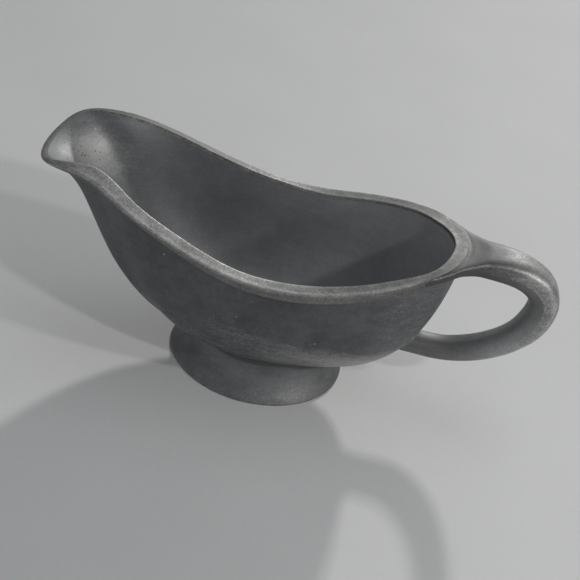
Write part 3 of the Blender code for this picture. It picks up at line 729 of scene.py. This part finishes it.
# ---------------------------------------------------------------- band
def band_section(rim):
    """Rings of the band: rolled outer ridge, ground top, crisp inner edge, groove and bead on the side."""
    w, l, f, h = rim.band_width, rim.leg, rim.flange, rim.band_height
    away = np.minimum(rim.u % 1, 1 - rim.u % 1)
    attach = smooth(0.088, 0.060, away)
    r_out = (0.95 + (0.42 - 0.95) * rim.lip) * (1 - attach) + 0.06 * attach
    r_in = 0.36 + 0 * w
    nick = np.array(
        [
            max(0.0, noise.noise(Vector((u * RUN_LENGTH / 2.3, 7.7, 1.3))) - 0.18) * 0.55
            for u in rim.u
        ]
    ) * (1 - attach) * (1 - 0.6 * rim.lip)
    drift = np.array([noise.noise(Vector((u * RUN_LENGTH / 9.0, 2.2, 5.1))) for u in rim.u])
    shake = np.array([noise.noise(Vector((u * RUN_LENGTH / 1.7, 9.2, 3.1))) for u in rim.u])
    groove = (0.20 + 0.16 * drift + 0.07 * shake) * (1 - attach) * (1 - rim.lip)
    ab, wear_and_sheen = [], []

    def put(a, b, wear_sheen):
        ab.append((a + 0 * w, b + 0 * w))
        wear_and_sheen.append(wear_sheen + 0 * w)

    for theta in np.linspace(0, 90, 8):
        c, s = math.cos(math.radians(theta)), math.sin(math.radians(theta))
        put(r_out * (1 - c) + nick * 0.5, r_out * (1 - s) + nick * 0.35 * s, (0.34 + 0.28 * s) * (1 - 0.85 * attach) * (1 - 0.8 * rim.far_behind_middle))
    for k in np.linspace(0.12, 0.9, 7):
        a = r_out + (w - r_in - r_out) * k
        rub = 0.52 - 0.16 * math.sin(math.pi * k) + 0.16 * rim.forward
        put(a, 0.05 * math.sin(math.pi * k), rub * (1 - 0.85 * rim.far_behind_middle))
    for theta in np.linspace(0, 90, 5):
        c, s = math.cos(math.radians(theta)), math.sin(math.radians(theta))
        put(w - r_in * (1 - s), r_in * (1 - c), (0.52 + 0.2 * rim.forward) * (1 - 0.6 * rim.far_behind_middle))
    put(w, f, 0.5)
    put(w - 0.05, f + 0.0 * f, 0.0)
    put(l, f, 0.0)
    put(l, h - 0.45 * l, 0.0)
    for theta in np.linspace(20, 180, 8):
        c, s = math.cos(math.radians(theta)), math.sin(math.radians(theta))
        put(l / 2 * (1 + c), h - 0.45 * l + 0.45 * l * s, 0.10 + 0.12 * (theta > 120))
    for k in np.linspace(0.12, 0.94, 9):
        b = (h - 0.45 * l) * (1 - k) + r_out * k
        put(groove * np.sin(math.pi * np.clip((k - 0.06) / 0.72, 0, 1)) ** 2, b, 0.12 + 0.16 * k)
    points = np.array([rim.at(a, b) for a, b in ab])
    # round the lip the section turns into a plain rounded nose in front of the wall's edge
    nose = []
    order = list(range(25, len(ab))) + list(range(0, 20))
    turn = dict(zip(order, np.linspace(-90, 90, len(order))))
    flat_face = dict(zip(range(20, 25), (1.35, 1.0, 0.65, 0.3, 0.0)))
    for i in range(len(ab)):
        if i in turn:
            phi = math.radians(turn[i])
            c, s = math.cos(phi), math.sin(phi)
            c = abs(c) ** 0.85
            up = (NOSE_HIGH + NOSE_LOW) / 2 + (NOSE_HIGH - NOSE_LOW) / 2 * s
            nose.append(nose_point(rim, NOSE * (1 - c) + 0 * w, up))
        else:
            nose.append(nose_point(rim, NOSE + 0 * w, flat_face[i]))
    blend = rim.spout[None, :, None]
    points = (points * (1 - blend) + np.array(nose) * blend).transpose(1, 0, 2)
    wear_and_sheen = np.array(wear_and_sheen)
    wear_and_sheen = wear_and_sheen * (1 - rim.spout) + (0.10 + 0.25 * (wear_and_sheen > 0.3)) * rim.spout
    return points, wear_and_sheen.T


def build_band():
    half = (SEAM_HALF + 0.04) / RUN_LENGTH
    inner = [u for u in round_positions(N_BAND) if half * 1.5 < u < 1 - half * 1.5]
    rim = Rim(np.r_[half, inner, 1 - half])
    points, wear_and_sheen = band_section(rim)
    far_side = smooth(0.25, 0.7, rim.edge[:, 1] / MOUTH_HALF_WIDTH)  # darker second tones all along the far side
    second_tone_share = np.repeat(0.95 * far_side * (1 - rim.lip), points.shape[1])
    ob = piece_from("mouth_band", points, False, "flat", wear_and_sheen, BAND_SILVER, 50, second_tone_share)
    return stands_for(ob, "rim_band")


def build_seam():
    half = SEAM_HALF / RUN_LENGTH
    rim = Rim(np.linspace(-half, half, 5))
    points, wear_and_sheen = band_section(rim)
    ob = piece_from("band_seam", points, False, "flat", wear_and_sheen * 0.7, BAND_SILVER, 50)
    return stands_for(ob, "rim_band_solder_seam")


# ---------------------------------------------------------------- foot
def foot_half_axes(z):
    k = (1 - np.clip(z / FOOT_HEIGHT, 0, 1)) ** FOOT_FLARE
    return (
        NECK_HALF_LENGTH + (BASE_HALF_LENGTH - NECK_HALF_LENGTH) * k,
        NECK_HALF_WIDTH + (BASE_HALF_WIDTH - NECK_HALF_WIDTH) * k,
    )


def oval(a, b, z, angles):
    return np.c_[a * np.cos(angles), b * np.sin(angles), np.full(len(angles), z)]


def build_foot():
    angles = np.linspace(0, 2 * math.pi, N_FOOT, endpoint=False)
    top = FOOT_HEIGHT - 0.1
    facing = np.maximum(0, np.cos(angles + math.radians(52))) ** 2
    rings, wear_sheen = [], []
    for z in np.linspace(top, 0.7, 36):
        rings.append(oval(*foot_half_axes(z), z, angles))
        low = smooth(10, 2, z)
        wear_sheen.append(low * (0.05 + 0.26 * facing))
    edge_a, edge_b = foot_half_axes(0.7)
    for theta in np.linspace(12, 90, 8):
        c, s = math.cos(math.radians(theta)), math.sin(math.radians(theta))
        rings.append(oval(edge_a - 0.7 * (1 - c) + 0.15 * s, edge_b - 0.7 * (1 - c) + 0.15 * s, 0.7 * (1 - s), angles))
        wear_sheen.append(0.18 + 0.3 * s + 0.1 * facing)
    rest = FOOT_REST_WIDTH + 0.4
    for z, width in ((0.0, rest - 0.5), (0.12, rest), (0.6, rest + 0.25)):
        rings.append(oval(BASE_HALF_LENGTH - width, BASE_HALF_WIDTH - width, z, angles))
        wear_sheen.append(np.full(N_FOOT, 0.3))
    for z in np.linspace(1.5, top, 24):
        a, b = foot_half_axes(z + 1.2)
        rings.append(oval(a - FOOT_WALL, b - FOOT_WALL, z, angles))
        wear_sheen.append(np.zeros(N_FOOT))
    ob = piece_from("foot", rings, True, None, wear_sheen, FOOT_SILVER, 60)
    return stands_for(ob, "foot_collar")


def hollow_arc(start, end, corner, count, depth=0.42):
    """A concave arc from start to end that bends towards corner."""
    out = []
    for k in np.linspace(0, 1, count):
        pull = 2 * depth * k * (1 - k)
        out.append(start * (1 - k - pull / 2) + end * (k - pull / 2) + corner * pull)
    return out


def build_foot_fillet():
    rim = RIM
    face = wall_outside(rim, np.linspace(0, 0.4, 161))
    neck = face[0]
    out = np.linalg.norm(face[:, :, :2] - neck[None, :, :2], axis=2)
    under = np.array(
        [[np.interp(FOOT_FILLET, out[:, i], face[:, i, c]) for c in range(3)] for i in range(len(rim.u))]
    )
    under[:, 2] -= GAP
    direction = np.c_[neck[:, 0] / NECK_HALF_LENGTH**2, neck[:, 1] / NECK_HALF_WIDTH**2, 0 * neck[:, 0]]
    direction /= np.linalg.norm(direction, axis=1)[:, None]
    corner = neck + direction * 0.08 - [0, 0, 0.12]
    low_z = FOOT_HEIGHT - FOOT_FILLET
    grow = foot_half_axes(low_z)[0] - NECK_HALF_LENGTH
    low = neck + direction * (0.08 + grow)
    low[:, 2] = low_z
    rings = [corner] + hollow_arc(under, low, corner, 9)
    ob = piece_from("foot_fillet", rings, True, None, [np.zeros(N_ROUND)] * len(rings), SOLDER, 60)
    return stands_for(ob, "foot_solder_fillet")


# ---------------------------------------------------------------- handle
ACROSS = np.sin(np.linspace(-math.pi / 2, math.pi / 2, 45))
ACROSS[0], ACROSS[-1] = -1.0, 1.0
BACK = Rim(np.linspace(-0.13, 0.13, 401))


def root_point(y, up):
    """On the band's outer face behind the bowl, a hairline off it."""
    depth = BAND_HEIGHT / 2 * (1 - 0.985 * up)
    face = BACK.edge - BACK.across * GAP + BACK.down * depth
    return np.array([np.interp(y, face[:, 1], face[:, 0]), y, np.interp(y, face[:, 1], face[:, 2])])


def handle_rows(count):
    stations = np.array(HANDLE)
    step = np.linalg.norm(np.diff(stations[:, :2], axis=0), axis=1)
    knots = np.r_[0, np.cumsum(step)]
    share = np.linspace(0, 1, count)
    q = knots[-1] * (share * 0.72 + 0.28 * share**2)
    mid = open_spline(stations[:, :2], knots, q)
    wide = even_curve(stations[:, 2], knots, q)
    thick = even_curve(stations[:, 3], knots, q)
    ahead = open_spline(stations[:, :2], knots, np.minimum(q + 0.05, knots[-1]))
    behind = open_spline(stations[:, :2], knots, np.maximum(q - 0.05, 0))
    run = ahead - behind
    run /= np.linalg.norm(run, axis=1)[:, None]
    outward = np.c_[-run[:, 1], run[:, 0]]
    lean = math.radians(BAND_TILT)
    start = np.array([math.sin(lean), math.cos(lean)])
    rows, wear_sheen = [], []
    for i in range(count):
        keep = 1 - smooth(0, HANDLE_WRAP, q[i])
        normal = outward[i] * (1 - keep) + start * keep
        normal = normal / np.linalg.norm(normal)
        top_power = 4.6 + (3.1 - 4.6) * smooth(4, 26, q[i]) - 0.5 * smooth(55, 85, q[i])
        low_power = 3.2 + (2.3 - 3.2) * smooth(4, 26, q[i])
        # bend marks the top of the handle's bend. The bare-metal marks along the ridges and over the bend are partly
        # real wear and partly a painted highlight, where the back light catches the bend's top.
        bend = np.exp(-(((q[i] - 31) / 15.0) ** 2))
        late = smooth(60, 100, q[i])
        start_up = smooth(3, 20, q[i])
        ring, wear_and_sheen = [], []
        for sign, power in ((1, top_power), (-1, low_power)):
            line, marks = [], []
            for e in ACROSS:
                h = (1 - abs(e) ** power) ** (1 / power)
                y, up = wide[i] * e, sign * h
                p = np.array([mid[i][0] + normal[0] * thick[i] * up, y, mid[i][1] + normal[1] * thick[i] * up])
                if i == 0:
                    p = root_point(y, up)
                elif keep > 0:
                    shift = root_point(y, up) - root_point(0, up)
                    p[0] += keep * shift[0]
                    p[2] += keep * shift[2]
                line.append(p)
                ridge = math.exp(-(((abs(e) - 0.90) / 0.10) ** 2))
                if sign > 0:
                    marks.append(
                        (0.16 * start_up + (0.40 - 0.14 * start_up) * ridge + 0.42 * bend * (0.4 + 0.6 * math.exp(-((e / 0.55) ** 2)))) * (1 - 0.55 * late)
                        + 0.06 * late
                    )
                else:
                    marks.append(0.10 * ridge)
            if sign < 0:
                line, marks = line[1:-1][::-1], marks[1:-1][::-1]
            ring += line
            wear_and_sheen += marks
        rows.append(np.array(ring))
        wear_sheen.append(np.array(wear_and_sheen))
    return rows, wear_sheen, smooth(34, 66, q)


def ladder(ring_index, count, rungs, points, place):
    """Faces and points that close a ring across its thickness."""
    n = len(ACROSS)
    base = ring_index * count
    top = [base + i for i in range(n)]
    bottom = [base] + [base + i for i in range(n, count)][::-1] + [base + n - 1]
    extra, lines = [], [top]
    start = len(points)
    for r in range(1, rungs + 1):
        k = r / (rungs + 1)
        line = [top[0]]
        for i in range(1, n - 1):
            a, b = points[top[i]], points[bottom[i]]
            extra.append(place(a, b, k))
            line.append(start + len(extra) - 1)
        line.append(top[-1])
        lines.append(line)
    lines.append(bottom)
    faces = []
    for one, two in zip(lines, lines[1:]):
        for i in range(n - 1):
            faces.append((one[i], one[i + 1], two[i + 1], two[i]))
    return extra, faces


def build_handle():
    rows, wear_sheen, low_arm = handle_rows(N_HANDLE)
    end = np.array([[back_wall_x(p[1], p[2]) + GAP, p[1], p[2]] for p in rows[-1]])
    # the last row is laid onto the bowl's wall
    rows.append(end)
    wear_sheen.append(wear_sheen[-1])
    count = len(rows[0])
    flat = np.concatenate(rows)
    wear_and_sheen = np.concatenate(wear_sheen)
    faces = []
    for r in range(len(rows) - 1):
        a, b = r * count, (r + 1) * count
        for i in range(count):
            j = (i + 1) % count
            faces.append((a + i, a + j, b + j, b + i))
    extra, more = ladder(0, count, 3, flat, lambda a, b, k: a * (1 - k) + b * k)
    faces += more
    flat = np.r_[flat, np.array(extra)]

    def on_wall(a, b, k):
        p = a * (1 - k) + b * k
        p[0] = back_wall_x(p[1], p[2]) + GAP
        return p

    extra, more = ladder(len(rows) - 1, count, 5, flat, on_wall)
    faces += more
    flat = np.r_[flat, np.array(extra)]
    wear_and_sheen = np.r_[wear_and_sheen, np.zeros(len(flat) - len(wear_and_sheen))]
    # painted light: the lower arm takes the handle's lighter second tones, brightening an arm that lies in shade
    second_tone_share = np.repeat(np.r_[low_arm, low_arm[-1]], count)
    second_tone_share = 0.85 * np.r_[second_tone_share, np.zeros(len(flat) - len(second_tone_share))]
    ob = make_piece("loop_handle", warp(flat), faces, wear_and_sheen, HANDLE_SILVER, 60, second_tone_share)
    return stands_for(ob, "handle")


def build_upper_fillet():
    """Solder in the corner under the handle's upper root, against the bowl's wall."""
    count = 121
    u = np.linspace(-0.044, 0.044, count)
    rim = Rim(u)
    fade = 1 - (np.abs(u) / 0.0452) ** 2
    reach = 0.15 + 1.9 * fade
    face = wall_outside(rim, np.linspace(1, 0.7, 120))
    off = -rim.across * GAP
    corner = rim.at(rim.leg - 0.02, rim.height + GAP) + off
    under = rim.at(-reach, rim.height + GAP + 0.1 + 0.25 * fade)
    drop = face[0, :, 2] - face[:, :, 2]
    low_drop = 0.75 + 2.2 * fade
    low = off + np.array(
        [[np.interp(low_drop[i], drop[:, i], face[:, i, c]) for c in range(3)] for i in range(count)]
    )
    sections = np.array([corner] + hollow_arc(under, low, corner, 9)).transpose(1, 0, 2)
    ob = piece_from(
        "handle_upper_fillet", sections, False, "flat", [np.zeros(10)] * count, SOLDER, 60
    )
    return stands_for(ob, "handle_upper_solder_fillet")


def build_lower_fillet():
    """Solder that runs round the handle's lower root, against the bowl's wall."""
    rows = handle_rows(N_HANDLE)[0]
    last = rows[-1]
    row = np.array([[back_wall_x(p[1], p[2]) + GAP, p[1], p[2]] for p in last])
    centre = row.mean(axis=0)
    corner, under, along = [], [], []
    for p in row:
        r = np.array([0, p[1] - centre[1], p[2] - centre[2]])
        r /= np.linalg.norm(r)

        def on_wall(distance, lift):
            y, z = p[1] + r[1] * distance, p[2] + r[2] * distance
            return np.array([back_wall_x(y, z) + lift, y, z])

        a = on_wall(0.05, 0.04)
        corner.append(a)
        under.append(on_wall(FILLET * 0.95, 0.03))
        along.append(a + np.array([FILLET * 1.1, 0, 0]))
    corner, under, along = np.array(corner), np.array(under), np.array(along)
    rings = [corner] + hollow_arc(under, along, corner, 9)
    ob = piece_from(
        "handle_lower_fillet", rings, True, None, [np.zeros(len(row))] * len(rings), SOLDER, 60
    )
    return stands_for(ob, "handle_lower_solder_fillet")


build_bowl()
build_band()
build_seam()
build_foot()
build_foot_fillet()
build_handle()
build_upper_fillet()
build_lower_fillet()


# ---------------------------------------------------------------- floor
def floor_material():
    n = Nodes("pale_floor")
    texture = n.add("ShaderNodeTexCoord")
    mm = n.mapped(texture.outputs["Object"], (1000, 1000, 1000))
    cloud = n.noise(mm, 0.012, 3.0, 0.5)
    grain = n.noise(mm, 0.5, 3.0, 0.6)
    tone = n.math("ADD", n.math("MULTIPLY", cloud, 0.6), n.math("MULTIPLY", grain, 0.4))
    colour = n.mix(n.ramp(tone, 0.3, 0.7), (0.685, 0.686, 0.687, 1), (0.72, 0.721, 0.722, 1))
    shader = n.tree.nodes.new("ShaderNodeBsdfPrincipled")
    n.set(shader.inputs["Base Color"], colour)
    n.set(shader.inputs["Roughness"], 0.7)
    n.set(shader.inputs["Specular IOR Level"], 0.25)
    out = n.tree.nodes.new("ShaderNodeOutputMaterial")
    n.tree.links.new(shader.outputs[0], out.inputs[0])
    return n.mat


bm = bmesh.new()
bmesh.ops.create_grid(bm, x_segments=24, y_segments=24, size=3.0)
mesh = bpy.data.meshes.new("floor")
bm.to_mesh(mesh)
bm.free()
mesh.materials.append(floor_material())
floor = bpy.data.objects.new("floor", mesh)
bpy.context.scene.collection.objects.link(floor)
floor.location.z = -0.0001


# ---------------------------------------------------------------- light
def soft_light(name, azimuth, elevation, distance, size, power, colour=(1, 1, 1)):
    """An area light aimed at the boat. Azimuth 0 is +X, 90 is +Y."""
    data = bpy.data.lights.new(name, "AREA")
    data.shape = "SQUARE"
    data.size = size
    data.energy = power
    data.color = colour
    ob = bpy.data.objects.new(name, data)
    a, e = math.radians(azimuth), math.radians(elevation)
    place = Vector((math.cos(a) * math.cos(e), math.sin(a) * math.cos(e), math.sin(e))) * distance
    target = Vector((0.0, 0.0, 0.04))
    ob.location = target + place
    ob.rotation_euler = (-place).to_track_quat("-Z", "Y").to_euler()
    bpy.context.scene.collection.objects.link(ob)
    return ob


soft_light("back_light", 77, 24.7, 4.6, 0.27, 92.0, (1.0, 0.99, 0.97))
soft_light("side_light", -12, 30, 1.15, 0.06, 2.6, (1.0, 0.99, 0.98))
soft_light("front_side_light", -38, 41, 1.15, 0.06, 2.25, (1.0, 0.99, 0.98))
soft_light("overhead_softbox", 60, 76, 1.4, 1.0, 2.1, (0.96, 0.98, 1.0))
soft_light("left_fill", 222, 8, 1.6, 0.9, 1.3, (0.97, 0.98, 1.0))

world = bpy.data.worlds.new("studio")
bpy.context.scene.world = world
world.use_nodes = True
background = world.node_tree.nodes.get("Background") or world.node_tree.nodes.new("ShaderNodeBackground")
background.inputs["Color"].default_value = (0.93, 0.97, 1.0, 1)
background.inputs["Strength"].default_value = 0.15

# ---------------------------------------------------------------- camera
ELEVATION, ROLL, DISTANCE, FOCAL_PX = 38.0, 14.1, 0.4675, 1151.2
AIM = Vector(((7.7 + SHIFT) * MM, 0.0, 36.4 * MM))
el, roll = math.radians(ELEVATION), math.radians(ROLL)
back = Vector((0, -math.cos(el), math.sin(el)))
right = Vector((1, 0, 0))
up = back.cross(right)
cam_x = right * math.cos(roll) + up * math.sin(roll)
cam_y = -right * math.sin(roll) + up * math.cos(roll)
camera_data = bpy.data.cameras.new("camera")
camera_data.sensor_width = 36.0
camera_data.lens = FOCAL_PX * 36.0 / 580.0
camera_data.clip_start = 0.01
camera = bpy.data.objects.new("camera", camera_data)
matrix = Matrix((cam_x, cam_y, back)).transposed().to_4x4()
matrix.translation = AIM + back * DISTANCE
camera.matrix_world = matrix
bpy.context.scene.collection.objects.link(camera)
bpy.context.scene.camera = camera
bpy.context.scene.view_settings.view_transform = "Standard"
